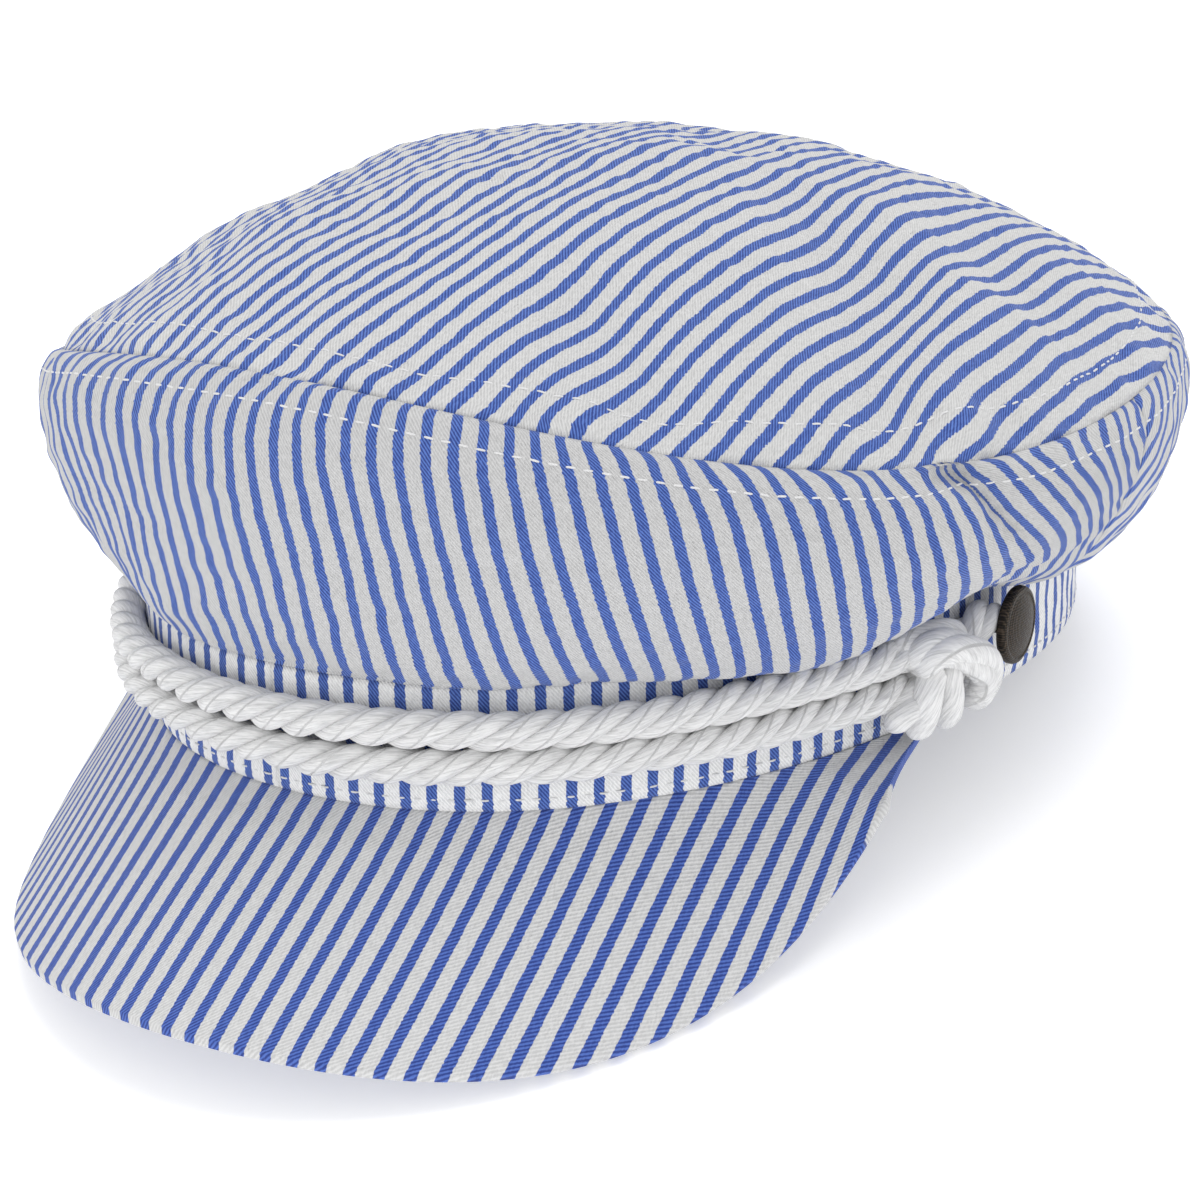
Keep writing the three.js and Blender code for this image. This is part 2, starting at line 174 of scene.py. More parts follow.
def band(th, z, w):
    p, q = ring("rim", th), ring("rim", th + 1e-4)
    t = (q - p) / np.linalg.norm(q - p, axis=-1, keepdims=True)
    return np.stack([p[..., 0] + t[..., 1] * w, p[..., 1] - t[..., 0] * w, z + 0 * p[..., 0]], -1)


def normal(f, a, b, h=1e-3):
    n = np.cross(f(a + h, b) - f(a - h, b), f(a, b + h) - f(a, b - h))
    return n / np.maximum(1e-9, np.linalg.norm(n, axis=-1, keepdims=True))


def stand(p):
    """Cap frame in mm to the row frame in metres: tipped on to the peak and the rear of the rim."""
    p = np.asarray(p, float)
    c, s = math.cos(TIP), math.sin(TIP)
    return np.stack([p[..., 0], p[..., 1] * c + p[..., 2] * s + SHIFT_Y, -p[..., 1] * s + p[..., 2] * c + LIFT], -1) / 1000


class Waves:
    """Smooth seeded noise: a sum of plane waves with wavelengths between lo and hi (mm), unit variance."""

    def __init__(self, lo, hi, n=22, stretch=(1, 1)):
        a, l = rng.uniform(0, 2 * np.pi, n), np.exp(rng.uniform(np.log(lo), np.log(hi), n))
        self.kx, self.ky = 2 * np.pi / l * np.cos(a) / stretch[0], 2 * np.pi / l * np.sin(a) / stretch[1]
        self.ph, self.n = rng.uniform(0, 2 * np.pi, n), n

    def __call__(self, x, y):
        return sum(np.sin(self.kx[i] * x + self.ky[i] * y + self.ph[i]) for i in range(self.n)) * math.sqrt(2 / self.n)


# ------------------------------------------------------------------ mesh helpers
def add_mesh(name, verts, faces, uv=None, smooth=True, mats=(), mat_index=None, world=False):
    v = np.asarray(verts, float).reshape(-1, 3)
    v = v if world else stand(v)
    faces = np.asarray(faces, np.int32)
    me = bpy.data.meshes.new(name)
    n, k = faces.shape
    me.vertices.add(len(v)); me.vertices.foreach_set("co", v.astype(np.float32).ravel())
    me.loops.add(n * k); me.loops.foreach_set("vertex_index", faces.ravel())
    me.polygons.add(n); me.polygons.foreach_set("loop_start", np.arange(0, n * k, k, dtype=np.int32))
    me.update(calc_edges=True)
    if uv is not None:
        lay = me.uv_layers.new(name="cloth")
        lay.data.foreach_set("uv", np.asarray(uv, np.float32).reshape(-1, 2)[faces.ravel()].ravel())
    for m in mats:
        me.materials.append(m)
    if mat_index is not None:
        me.polygons.foreach_set("material_index", np.asarray(mat_index, np.int32))
    me.polygons.foreach_set("use_smooth", np.full(n, smooth))
    me.validate(clean_customdata=False)
    ob = bpy.data.objects.new(name, me)
    bpy.context.scene.collection.objects.link(ob)
    return ob


def grid_faces(n, m, wrap=False, base=0, flip=False):
    i, j = np.meshgrid(np.arange(n if wrap else n - 1), np.arange(m - 1), indexing="ij")
    a, b = i * m + j, ((i + 1) % n) * m + j
    q = np.stack([a, b, b + 1, a + 1], -1).reshape(-1, 4) + base
    return q[:, ::-1] if flip else q


def shell(name, outer, inner, uv, mats, wrap=False):
    """Closed cloth wall from an outer and an inner grid of one size, (n, m, 3)."""
    n, m = outer.shape[:2]
    N = n * m
    f = [grid_faces(n, m, wrap), grid_faces(n, m, wrap, N, True)]
    idx = np.arange(N).reshape(n, m)

    def rim(row, flip):
        q = np.stack([row[:-1], row[1:], row[1:] + N, row[:-1] + N], -1)
        f.append(q[:, ::-1] if flip else q)

    close = (lambda r: np.concatenate([r, r[:1]])) if wrap else (lambda r: r)
    rim(close(idx[:, 0]), True); rim(close(idx[:, -1]), False)
    if not wrap:
        rim(idx[0], False); rim(idx[-1], True)
    ob = add_mesh(name, np.concatenate([outer.reshape(-1, 3), inner.reshape(-1, 3)]), np.concatenate(f),
                  np.concatenate([uv.reshape(-1, 2)] * 2), mats=mats)
    return finish_piece(ob)


def finish_piece(ob):
    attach(ob, BODY)
    return ob


# ------------------------------------------------------------------ materials
def nodes_of(name, base=(0.8, 0.8, 0.8, 1), rough=0.9, spec=0.3, sheen=0.0, metal=0.0):
    m = bpy.data.materials.new(name)
    m.use_nodes = True
    nt = m.node_tree
    b = nt.nodes["Principled BSDF"]
    b.inputs["Base Color"].default_value = base
    b.inputs["Roughness"].default_value = rough
    b.inputs["Specular IOR Level"].default_value = spec
    b.inputs["Sheen Weight"].default_value = sheen
    b.inputs["Metallic"].default_value = metal
    return m, nt, b


class N:
    """Short names for shader nodes."""

    def __init__(self, nt):
        self.nt, self.L = nt, nt.links

    def new(self, kind, **kw):
        n = self.nt.nodes.new(kind)
        for k, v in kw.items():
            setattr(n, k, v)
        return n

    def put(self, sock, v):
        if hasattr(v, "is_output") or isinstance(v, bpy.types.NodeSocket):
            self.L.new(v, sock)
        else:
            sock.default_value = v

    def math(self, op, a, b=None, c=None, clamp=False):
        n = self.new("ShaderNodeMath", operation=op, use_clamp=clamp)
        for i, v in enumerate((a, b, c)):
            if v is not None:
                self.put(n.inputs[i], v)
        return n.outputs[0]

    def smooth(self, x, lo, hi, a=0.0, b=1.0):
        n = self.new("ShaderNodeMapRange", interpolation_type="SMOOTHSTEP")
        for s, v in (("Value", x), ("From Min", lo), ("From Max", hi), ("To Min", a), ("To Max", b)):
            self.put(n.inputs[s], v)
        return n.outputs[0]

    def mix(self, f, a, b):
        n = self.new("ShaderNodeMix", data_type="RGBA")
        self.put(n.inputs[0], f); self.put(n.inputs[6], a); self.put(n.inputs[7], b)
        return n.outputs[2]

    def vec(self, x, y, z=0.0):
        n = self.new("ShaderNodeCombineXYZ")
        for i, v in enumerate((x, y, z)):
            self.put(n.inputs[i], v)
        return n.outputs[0]

    def noise(self, v, scale, detail=2.0, rough=0.5, dim="3D"):
        n = self.new("ShaderNodeTexNoise", noise_dimensions=dim)
        self.put(n.inputs["Vector"], v)
        n.inputs["Scale"].default_value = scale
        n.inputs["Detail"].default_value = detail
        n.inputs["Roughness"].default_value = rough
        return n.outputs[0]

    def white(self, v):
        n = self.new("ShaderNodeTexWhiteNoise", noise_dimensions="1D")
        self.put(n.inputs["W"], v)
        return n.outputs["Value"]

    def bump(self, h, dist, strength=1.0, prev=None):
        n = self.new("ShaderNodeBump")
        n.inputs["Strength"].default_value = strength
        n.inputs["Distance"].default_value = dist
        self.put(n.inputs["Height"], h)
        if prev is not None:
            self.put(n.inputs["Normal"], prev)
        return n.outputs[0]


PERIOD = 4.9            # mm of cloth per stripe


def stripe_cloth(name, white=(0.63, 0.63, 0.628, 1), blue=(0.102, 0.19, 0.54, 1), dark=(0.030, 0.058, 0.24, 1), share=0.40, wave=0.07, jag_by=0.045):
    m, nt, b = nodes_of(name, rough=0.92, spec=0.25, sheen=0.12)
    g = N(nt)
    uv = g.new("ShaderNodeUVMap", uv_map="cloth")
    sep = g.new("ShaderNodeSeparateXYZ"); nt.links.new(uv.outputs[0], sep.inputs[0])
    u, v = sep.outputs[0], sep.outputs[1]                       # u in stripes, v in mm along them
    mm = g.math("MULTIPLY", u, PERIOD)
    row = g.math("FLOOR", g.math("DIVIDE", v, 0.42))
    jag = g.math("MULTIPLY", g.math("SUBTRACT", g.white(row), 0.5), jag_by)
    wav = g.math("MULTIPLY", g.math("SUBTRACT", g.noise(g.vec(mm, v), 0.11, 2.0), 0.5), wave)
    p = g.math("FRACT", g.math("ADD", g.math("ADD", g.math("ADD", u, 0.5), jag), wav))
    d = g.math("ABSOLUTE", g.math("SUBTRACT", p, 0.5))
    inb = g.smooth(d, share / 2 + 0.016, share / 2 - 0.016)
    # twill lines and yarn variation; the colours darken where the weave's bump is low, partly the yarns' own tone and
    # partly painted shade in the weave's grooves
    tw = g.math("SINE", g.math("MULTIPLY", g.math("ADD", mm, g.math("MULTIPLY", v, 0.8)), 2 * math.pi / 0.68))
    yarn = g.noise(g.vec(g.math("MULTIPLY", mm, 2.6), g.math("MULTIPLY", v, 0.7)), 1.0, 2.0)
    mixf = g.math("ADD", g.math("MULTIPLY", tw, 0.36), g.math("MULTIPLY", yarn, 1.0))
    bcol = g.mix(g.smooth(mixf, 0.22, 0.82), dark, blue)
    wn = g.smooth(g.math("ADD", g.math("MULTIPLY", tw, 0.20), yarn), 0.25, 0.75, 0.0, 1.0)
    wcol = g.mix(wn, tuple(c * 0.80 for c in white[:3]) + (1,), white)
    nt.links.new(g.mix(inb, wcol, bcol), b.inputs["Base Color"])
    h1 = g.bump(g.math("ADD", g.math("MULTIPLY", tw, 0.35), yarn), 0.00016, 0.7)
    puck = g.noise(g.vec(g.math("MULTIPLY", mm, 0.45), g.math("MULTIPLY", v, 0.20)), 1.0, 3.0, 0.55)
    h2 = g.bump(puck, 0.0011, 0.7, h1)
    nt.links.new(h2, b.inputs["Normal"])
    return m


def thread_mat(name, col=(0.74, 0.74, 0.745, 1)):
    m, nt, b = nodes_of(name, base=col, rough=0.7, spec=0.3, sheen=0.1)
    g = N(nt)
    tc = g.new("ShaderNodeTexCoord")
    n = g.noise(tc.outputs["Object"], 2500, 2.0)
    nt.links.new(g.mix(n, tuple(c * 0.8 for c in col[:3]) + (1,), col), b.inputs["Base Color"])
    nt.links.new(g.bump(n, 0.0001, 0.5), b.inputs["Normal"])
    return m


def rope_mat(name):
    m, nt, b = nodes_of(name, rough=0.88, spec=0.25, sheen=0.25)
    g = N(nt)
    uv = g.new("ShaderNodeUVMap", uv_map="cloth")
    sep = g.new("ShaderNodeSeparateXYZ"); nt.links.new(uv.outputs[0], sep.inputs[0])
    u, v = sep.outputs[0], sep.outputs[1]                       # u round the strand 0..1, v mm along it
    skew = g.math("SUBTRACT", g.math("MULTIPLY", u, 14.0), g.math("MULTIPLY", v, 0.9))
    fib = g.noise(g.vec(g.math("MULTIPLY", skew, 2.2), g.math("MULTIPLY", v, 0.22)), 1.0, 4.0, 0.62)
    fib2 = g.noise(g.vec(g.math("MULTIPLY", skew, 6.0), g.math("MULTIPLY", v, 0.5)), 1.0, 2.0, 0.6)
    f = g.math("ADD", g.math("MULTIPLY", fib, 0.7), g.math("MULTIPLY", fib2, 0.3))
    # painted shade: the rope darkens where the fibre bump f is low, in the grooves between the fibres
    col = g.mix(g.smooth(f, 0.32, 0.62), (0.54, 0.54, 0.545, 1), (0.84, 0.84, 0.84, 1))
    nt.links.new(col, b.inputs["Base Color"])
    nt.links.new(g.bump(f, 0.0005, 0.8), b.inputs["Normal"])
    return m


def button_mat(name):
    m, nt, b = nodes_of(name, base=(0.04, 0.032, 0.026, 1), rough=0.5, spec=0.4, metal=0.6)
    g = N(nt)
    uv = g.new("ShaderNodeUVMap", uv_map="cloth")
    sep = g.new("ShaderNodeSeparateXYZ"); nt.links.new(uv.outputs[0], sep.inputs[0])
    x, y = sep.outputs[0], sep.outputs[1]                       # mm on the face
    k = 2 * math.pi / 0.95
    cross = g.math("MULTIPLY", g.math("SINE", g.math("MULTIPLY", g.math("ADD", x, y), k)), g.math("SINE", g.math("MULTIPLY", g.math("SUBTRACT", x, y), k)))
    n = g.noise(uv.outputs[0], 1.4, 4.0, 0.6)
    h = g.math("ADD", g.math("MULTIPLY", cross, 0.22), n)
    nt.links.new(g.mix(g.smooth(h, 0.38, 0.80), (0.012, 0.010, 0.008, 1), (0.085, 0.063, 0.044, 1)), b.inputs["Base Color"])
    nt.links.new(g.smooth(n, 0.3, 0.7, 0.38, 0.62), b.inputs["Roughness"])
    nt.links.new(g.bump(h, 0.00022, 0.8), b.inputs["Normal"])
    return m


M_CLOTH = stripe_cloth("seersucker_crown", white=(0.625, 0.625, 0.625, 1))
# painted shade: the side panel is the same white cloth as the crown, its white lowered to 0.57 to darken the side as
# shade does
M_SIDE_SHADED = stripe_cloth("seersucker_side_painted_shade", white=(0.57, 0.57, 0.572, 1))
# painted light: the headband is the same white cloth as the crown, its white raised to 0.86 to brighten the shade under
# the crown's overhang
M_BAND_LIT = stripe_cloth("seersucker_band_painted_light", white=(0.86, 0.86, 0.86, 1), wave=0.05)
# painted light: the peak is the same white cloth as the crown, its white raised to 0.67 to brighten it as light does
M_PEAK_LIT = stripe_cloth("seersucker_peak_painted_light", white=(0.67, 0.67, 0.67, 1), blue=(0.085, 0.16, 0.52, 1), dark=(0.028, 0.055, 0.25, 1), share=0.42, wave=0.012, jag_by=0.03)
M_THREAD = thread_mat("topstitch_thread")
M_ROPE = rope_mat("cotton_rope")
M_BUTTON = button_mat("aged_button")


# ------------------------------------------------------------------ how the stripes run: counts of stripes across each panel
# Smooth Chebyshev surfaces (rows: degree across, columns: degree along); whole numbers are the middles of blue stripes.
RUN = {
    "side": dict(lo=(-163.4, 0), hi=(163.4, 1), m=[
    [5.54, 1.85, 0.21, -0.28, -0.07],
    [38.3, 0.07, 0.37, -0.5, -0.04],
    [0.11, 0.66, 0.19, -0.27, -0.01],
    [-0.31, -0.47, -0.07, -0, -0.14],
    [-0.04, -0.53, -0.22, 0.08, -0.15],
    [0.66, 0.69, -0.09, 0.06, 0.08],
    [0.36, 0.59, 0.02, 0.11, 0],
    [-0.14, -0.32, 0.05, 0.07, 0],
    [0.19, -0.04, -0, 0, 0],
    [0.22, 0.24, 0.07, 0, 0],
]),
    "top": dict(lo=(-112, -110), hi=(112, 122), m=[
    [-13.21, 0.96, -0.15, -0.16, -0.06],
    [25.89, 0.12, -0.43, -0.18, -0.1],
    [0.04, 0.29, -0.6, 0.1, -0.21],
    [0.18, -0.13, -0.28, 0.17, 0.11],
    [0.06, -0.17, -0.17, 0.02, 0],
    [-0.17, 0.06, -0.06, 0, 0],
]),
    "peak": dict(lo=(-92, -190), hi=(92, -15), m=[
    [-2.85, 1.91, -0, 0.38],
    [20.23, 0.29, -0.05, 0.16],
    [0.14, 0.31, -0.21, -0.3],
    [0.19, 0.14, -0.22, 0.04],
    [0.03, 0.15, 0.18, 0],
    [-0.1, 0.11, -0.02, 0],
]),
}
PEAK_ENDS = (-21.5, 18.5)      # past these the cloth at the ends of the peak is plain
BAND_RUN = dict(start=32.69, period=4.907)
BACK_CUT = 167.0         # mm: the back panel is a curved strip of this radius at its lower edge


def run(name, a, b):
    r = RUN[name]
    x = (a - r["lo"][0]) / (r["hi"][0] - r["lo"][0]) * 2 - 1
    y = (b - r["lo"][1]) / (r["hi"][1] - r["lo"][1]) * 2 - 1
    return np.polynomial.chebyshev.chebval2d(x, y, np.array(r["m"], float))


HANG = 36.0              # degrees: the stripes' lower ends hang plumb as seen from here


def phase_side(th, t):
    f = FOLD[0]
    deg = np.degrees(th)
    w = np.clip((f["t0"] - t) / (f["t0"] - f["t1"]), 0, 1)
    tuck = 2.4 * (1 - w) ** 1.5 / (1 + np.exp(-(deg - f["a0"] - (f["a1"] - f["a0"]) * w) / 0.6))
    # past the measured part the stripes carry on at an even spacing
    d2 = np.clip(deg, -66, 94)
    ease = np.clip((deg - 35) / 30, 0, 1)
    t2 = np.maximum(t, 0.12 + 0.16 * ease * ease * (3 - 2 * ease) * np.clip((100 - deg) / 15, 0.4, 1))
    p, q = side(th, t), side(th, t2)
    near = np.hypot(p[..., 0], p[..., 1]) / np.hypot(q[..., 0], q[..., 1])
    turn = np.radians(np.clip(deg - HANG, -62, 62))
    hang = np.degrees(np.arcsin(np.clip(near * np.sin(turn), -1, 1)) - turn)
    a, a2 = arc(th), arc(np.radians(np.clip(deg + hang, -66, 94)))
    a1 = arc(np.radians(d2))
    return run("side", a2, t2) + (a - a1) * 0.235 + tuck


def phase_back(th, t):
    a = (arc(th) - ROUND / 2) / BACK_CUT
    return (BACK_CUT + 58 * t) * np.sin(a) / PERIOD


def phase_top(x, y):
    return run("top", x, y)


def phase_peak(x, y):
    k = run("peak", np.clip(x, -88, 88), np.clip(y, -165, -9))
    return np.clip(k, PEAK_ENDS[0], PEAK_ENDS[1])


def phase_band(th, z):
    return (arc(th) + BAND_RUN["start"]) / BAND_RUN["period"] + 0 * z


# ------------------------------------------------------------------ cloth pieces
CRINKLE = Waves(5, 14, 26)
SOFT = Waves(26, 60, 14)
PUCKER = Waves(9, 20, 18)


def crown_side(name, a0, a1, n, m, node, phase):
    th = np.radians(np.linspace(a0, a1, n))[:, None] + np.zeros((1, m))
    t = np.linspace(0, 1, m)[None, :] + np.zeros((n, 1))
    p, nn = side(th, t), normal(side, th, np.clip(t, 1e-3, 1 - 1e-3))
    leng = np.concatenate([np.zeros((n, 1)), np.cumsum(np.linalg.norm(np.diff(p, axis=1), axis=-1), axis=1)], 1)
    a = arc(th)
    edge = np.clip(np.minimum(t, 1 - t) / 0.04, 0, 1)
    amp = 0.16 * edge
    p = p + nn * (amp * CRINKLE(a, leng) + 0.35 * edge * SOFT(a, leng))[..., None]
    gather = np.exp(-((1 - t) * 62 / 6.5) ** 2) * np.clip((1 - t) * 62 / 2, 0, 1)
    p = p + nn * (0.42 * gather * PUCKER(a, leng * 0.35))[..., None]
    # the seams pull the cloth in
    ends = np.minimum(a - a[:1], a[-1:] - a)
    p = p - nn * (0.6 * np.exp(-(1 - t) * 70 / 1.3) + 0.5 * np.exp(-ends / 1.2))[..., None]
    mit = nn.copy()
    mit[:, -1] = seam_mitre(th[:, -1])
    inner = p - mit * CLOTH
    uv = np.stack([phase(th, t) + 0.09 * gather * PUCKER(a + 40, leng * 0.5), leng], -1)
    ob = shell(name, p, inner, uv, [M_SIDE_SHADED])
    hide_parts(node)
    return along_grid(p, 62 * (1 - t), 6.8)


def seam_mitre(th):
    a = normal(side, th, np.full_like(th, 0.97))
    b = normal(lambda p, q: top(p, 1 - q), th, np.full_like(th, 0.03))
    m = a + b
    return m / np.linalg.norm(m, axis=-1, keepdims=True) * 1.2


def crown_top(n=420, m=76):
    th = np.linspace(0, 2 * np.pi, n, endpoint=False)[:, None] + np.zeros((1, m))
    s = (1 - np.linspace(0, 1, m) ** 1.1 * 0.994)[None, :] + np.zeros((n, 1))
    p, nn = top(th, s), normal(lambda a, b: top(a, 1 - b), th, np.clip(1 - s, 1e-3, 1))
    x, y = p[..., 0].copy(), p[..., 1].copy()
    edge = np.clip((1 - s) / 0.03, 0, 1)
    p = p + nn * (0.16 * edge * CRINKLE(x + 300, y) + 0.4 * edge * SOFT(x + 90, y))[..., None]
    d = (1 - s) * 110
    gather, ar = np.exp(-(d / 8) ** 2) * np.clip(d / 2, 0, 1), arc(th)
    p = p + nn * (0.42 * gather * PUCKER(ar + 500, d * 0.35))[..., None]
    p = p - nn * (0.6 * np.exp(-(d / 1.3)))[..., None]
    nn[:, 0] = seam_mitre(th[:, 0])
    inner = p - nn * CLOTH
    uv = np.stack([phase_top(x, y) + 0.08 * gather * PUCKER(ar + 700, d * 0.5), y], -1)
    N_ = n * m
    mid_o, mid_i = p[:, -1].mean(0), inner[:, -1].mean(0)
    v = np.concatenate([p.reshape(-1, 3), inner.reshape(-1, 3)])
    f = [grid_faces(n, m, True), grid_faces(n, m, True, N_, True)]
    idx = np.arange(N_).reshape(n, m)
    r = np.concatenate([idx[:, 0], idx[:1, 0]])
    q = np.stack([r[:-1], r[1:], r[1:] + N_, r[:-1] + N_], -1)[:, ::-1]
    f.append(q)
    # close the small middle with quads folded to the far side of the ring
    last = idx[:, -1]
    h = n // 2
    k = np.arange(h - 1)
    cap = np.stack([last[k], last[k + 1], last[(n - k - 2) % n], last[(n - k - 1) % n]], -1)
    f.append(cap); f.append(cap[:, ::-1] + N_)
    ob = add_mesh("crown_top_cloth", v, np.concatenate(f), np.concatenate([uv.reshape(-1, 2)] * 2), mats=[M_CLOTH])
    finish_piece(ob)
    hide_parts("crown_top")
    return along_grid(p, d, 6.2, True)


def headband(n=420, m=16):
    th = np.linspace(0, 2 * np.pi, n, endpoint=False)[:, None] + np.zeros((1, m))
    z = np.linspace(0, BAND_H, m)[None, :] + np.zeros((n, 1))
    e = np.minimum(z, BAND_H - z)
    w = -0.35 * (1 - np.sqrt(np.clip(1 - (1 - np.clip(e / 0.6, 0, 1)) ** 2, 0, 1)))
    a = arc(th)
    w = w + 0.10 * CRINKLE(a, z + 500) * np.clip(e / 3, 0, 1)
    outer, inner = band(th, z, w), band(th, z, -BAND_WALL + 0 * w)
    uv = np.stack([phase_band(th, z), z], -1)
    uv[..., 0] = phase_band(th, z)
    # the phase runs on past the back, so the wrap gets its own column
    outer = np.concatenate([outer, outer[:1]]); inner = np.concatenate([inner, inner[:1]])
    uv2 = np.stack([phase_band(th[:1] + 2 * np.pi, z[:1]), z[:1]], -1)
    uv = np.concatenate([uv, uv2])
    ob = shell("headband_cloth", outer, inner, uv, [M_BAND_LIT])
    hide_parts("headband")
    return ob


def visor(n=300, m=56):
    w = np.linspace(-1, 1, n)[:, None] + np.zeros((1, m))
    v = np.linspace(1, -0.012, m)[None, :] + np.zeros((n, 1))
    p = peak(w, v)
    nn = normal(lambda a, b: peak(a, 1 - b), np.clip(w, -0.998, 0.998), np.clip(1 - v, 1e-3, 0.88))
    ln = np.linalg.norm(peak(w, 1 + 0 * v) - peak(w, 0 * v), axis=-1)
    e = (1 - v) * ln                                           # mm in from the outer edge
    e2 = np.minimum(e, (1 - np.abs(w)) * 120)
    rnd = 1.35 * (1 - np.sqrt(np.clip(1 - (1 - np.clip(e2 / 1.5, 0, 1)) ** 2, 0, 1)))
    outer = p - nn * rnd[..., None]
    inner = p - nn * (PEAK_T - rnd)[..., None]
    uv = np.stack([phase_peak(p[..., 0], p[..., 1]), -1.25 * p[..., 1]], -1)
    ob = shell("visor_cloth", outer, inner, uv, [M_PEAK_LIT])
    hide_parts("visor")
    return ob


# ------------------------------------------------------------------ cords
def strands(name, path, out, R, pitch, start=0.0, count=3, around=24, yarn=0.05, taper=(0, 0), lay=(0.53, 0.475)):
    """Twisted strands along a path (k, 3) with an outward direction (k, 3) at each point."""
    path, out = np.asarray(path, float), np.asarray(out, float)
    t = np.gradient(path, axis=0); t /= np.linalg.norm(t, axis=1, keepdims=True)
    b = np.cross(t, out); b /= np.linalg.norm(b, axis=1, keepdims=True)
    o = np.cross(b, t)
    s = np.concatenate([[0], np.cumsum(np.linalg.norm(np.diff(path, axis=0), axis=1))])
    vs, fs, us, base = [], [], [], 0
    k = len(path)
    end = np.ones(k)
    if taper[0]: end *= np.clip(s / taper[0], 0.02, 1) ** 0.5
    if taper[1]: end *= np.clip((s[-1] - s) / taper[1], 0.02, 1) ** 0.5
    for c in range(count):
        a = start + 2 * np.pi * c / count - 2 * np.pi * s / pitch
        rc, rs = (lay[0] * R, lay[1] * R) if count > 1 else (0.0, R)
        ca, sa = np.cos(a)[:, None], np.sin(a)[:, None]
        cen = path + (o * ca + b * sa) * rc * end[:, None]
        td = np.gradient(cen, axis=0); td /= np.linalg.norm(td, axis=1, keepdims=True)
        e1 = o * ca + b * sa; e1 -= td * (e1 * td).sum(1, keepdims=True); e1 /= np.linalg.norm(e1, axis=1, keepdims=True)
        e2 = np.cross(td, e1)
        ph = np.linspace(0, 2 * np.pi, around, endpoint=False)[None, :]
        groove = yarn * (np.abs(np.sin(5.5 * ph - s[:, None] * 2.2)) - 0.6)
        r = (rs + groove) * end[:, None]
        ring_ = cen[:, None, :] + (e1[:, None, :] * (np.cos(ph) * r * 0.98)[..., None] + e2[:, None, :] * (np.sin(ph) * r * 1.06)[..., None])
        vs.append(ring_.reshape(-1, 3))
        us.append(np.stack([ph / (2 * np.pi) + 0 * s[:, None] + c * 0.37, s[:, None] + 0 * ph + 37 * c], -1).reshape(-1, 2))
        i, j = np.meshgrid(np.arange(k - 1), np.arange(around), indexing="ij")
        q0, q1 = i * around + j, i * around + (j + 1) % around
        fs.append(np.stack([q0, q0 + around, q1 + around, q1], -1).reshape(-1, 4) + base)
        # end caps as folded quads
        for first, flip in ((0, False), ((k - 1) * around, True)):
            h = around // 2
            kk = np.arange(h - 1)
            cap = np.stack([first + kk, first + kk + 1, first + (around - kk - 2) % around, first + (around - kk - 1) % around], -1)
            fs.append((cap[:, ::-1] if flip else cap) + base)
        base += k * around
    return np.concatenate(vs), np.concatenate(fs), np.concatenate(us)


def front_cord(name, z, node, start, end, R, slim):
    k = 520
    th = np.radians(np.linspace(-end, end, k))
    dz = slim * np.exp(-((np.degrees(np.abs(th)) - 46) / 20) ** 2)
    wob = 0.14 * np.sin(th * 9 + z) + 0.08 * np.sin(th * 23 + 2 * z) + dz
    off = ROPE_OFF + 0.10 * np.sin(th * 17 + z)
    path = band(th, z + wob, off)
    out = band(th, z + wob, off + 1.0) - path
    v, f, u = strands(name, path, out, R, 21.0, start)
    ob = finish_piece(add_mesh(name, v, f, u, mats=[M_ROPE]))
    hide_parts(node)
    return ob


KNOT_AT = 82.5
KNOT = [
    dict(r=3.9, n=3, pitch=90, start=0.5, lay=(0.40, 0.62), row=[[-9.5, 14.6, 5.0], [-7.8, 17.6, 8.0], [-3.6, 17.8, 9.0], [2.0, 15.2, 9.4], [7.0, 10.6, 8.6], [7.4, 6.2, 7.2], [5.0, 3.4, 5.4]]),
    dict(r=2.6, n=1, pitch=30, start=0.0, lay=(0, 1), row=[[-13.5, 17.4, 4.0], [-8.7, 19.5, 4.4], [-1.2, 19.0, 4.5], [6.4, 16.4, 4.4]]),
    dict(r=3.7, n=3, pitch=24, start=1.0, lay=(0.50, 0.50), row=[[2.5, 12.2, 3.9], [5.5, 14.6, 3.9], [9.4, 16.6, 3.9], [13.2, 17.6, 3.9], [17.6, 17.4, 3.8]]),
    dict(r=2.8, n=1, pitch=30, start=0.0, lay=(0, 1), row=[[-4.5, 14.5, 6.5], [-7.7, 12.0, 8.4], [-8.8, 8.0, 8.4], [-8.4, 3.4, 6.4], [-7.0, 2.8, 4.0]]),
    dict(r=2.7, n=1, pitch=30, start=0.0, lay=(0, 1), row=[[-1.5, 14.5, 6.5], [-2.7, 12.1, 8.2], [-2.2, 8.0, 8.2], [-1.2, 3.6, 6.6], [0.8, 3.0, 4.0]]),
    dict(r=2.4, n=1, pitch=30, start=0.0, lay=(0, 1), row=[[-7.5, 7.8, 6.0], [-11.5, 7.4, 6.9], [-13.8, 6.0, 6.3], [-14.4, 3.8, 4.2]]),
    dict(r=3.4, n=1, pitch=30, start=0.0, lay=(0, 1), row=[[-9, 13.0, 4.0], [-1, 12.0, 4.6], [5, 9.0, 4.4]]),
]


def catmull(pts, k):
    pts = np.asarray(pts, float)
    P = np.concatenate([[2 * pts[0] - pts[1]], pts, [2 * pts[-1] - pts[-2]]])
    n = len(pts) - 1
    x = np.linspace(0, n - 1e-9, k)
    i = x.astype(int); f = (x - i)[:, None]
    a, b, c, d = P[i], P[i + 1], P[i + 2], P[i + 3]
    return 0.5 * (2 * b + (c - a) * f + (2 * a - 5 * b + 4 * c - d) * f**2 + (3 * b - a - 3 * c + d) * f**3)


